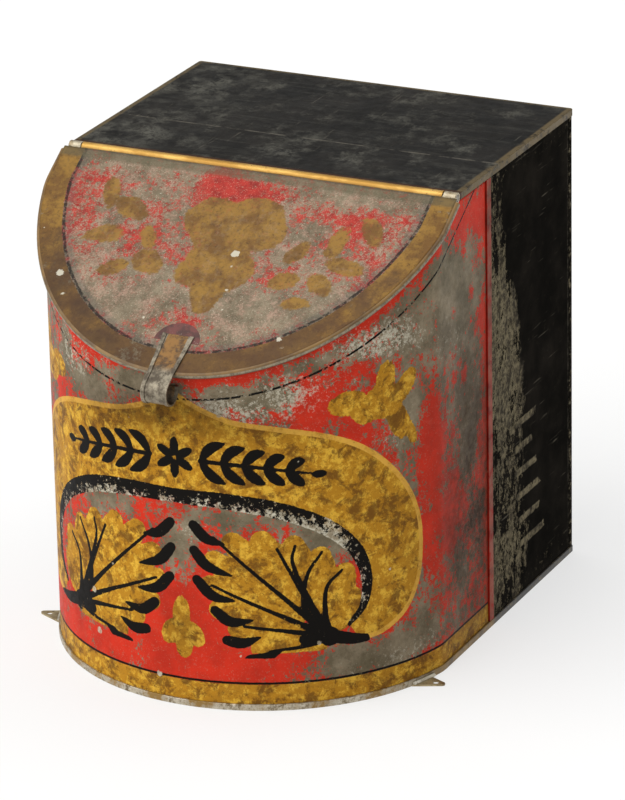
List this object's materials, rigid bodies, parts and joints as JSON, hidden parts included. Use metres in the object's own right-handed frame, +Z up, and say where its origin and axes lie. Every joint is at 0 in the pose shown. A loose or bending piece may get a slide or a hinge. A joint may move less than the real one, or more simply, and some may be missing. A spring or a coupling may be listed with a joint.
{
  "type": "spice tin",
  "caption": "Slant-front tinplate store bin for spice with a bowed red front, black back and top, and a hinged D-shaped lid with a curled lift tab.",
  "frame": {"origin": "middle of the base's underside, halfway between the back panel and the front of the bow", "axes": "+Z up, -Y towards the bowed front and the lid, +X to the right of someone facing the front"},
  "size_m": [0.2048, 0.2403, 0.2214],
  "materials": {
    "front_paint": "red japan with gold and black decoration, worn to the tin",
    "black_japan": "black japan, satin, scratched",
    "rim_tin": "ochre paint worn through to tin along the rim",
    "gold_paint": "gold bronze paint, semi-gloss",
    "lid_paint": "red japan rubbed down to grey tin, gold border",
    "lid_edge_paint": "rolled tin edge with worn paint",
    "bare_tin": "tarnished tinplate",
    "tab_tin": "tinplate with worn gold paint",
    "steel_wire": "dull drawn wire",
    "solder": "dull soft solder"
  },
  "bodies": {
    "bin": {"base_pan": "rim_tin", "front_wall": "front_paint", "side_panel_right": "black_japan", "side_panel_left": "black_japan", "back_panel": "black_japan", "top_plate": "black_japan", "hinge_barrel": "gold_paint", "hinge_solder": "solder", "hinge_wire": "steel_wire", "base_solder": "solder", "corner_solder_right": "solder", "corner_solder_left": "solder", "seam_solder_right": "solder", "seam_solder_left": "solder", "base_lug_right": "bare_tin", "base_lug_left": "bare_tin", "lug_solder_right": "solder", "lug_solder_left": "solder"},
    "lid": {"lid_panel": "lid_paint", "lid_rolled_edge": "lid_edge_paint", "lid_edge_wire": "steel_wire", "lid_knuckle_right": "bare_tin", "lid_knuckle_left": "bare_tin", "lift_tab": "tab_tin", "tab_solder": "solder"}
  },
  "joints": [
    {"name": "lid_hinge", "type": "hinge", "parent": "bin", "child": "lid", "pos_m": [0, -0.016, 0.2189], "axis": [-1, 0, 0], "range_deg": [0, 135]}
  ]
}
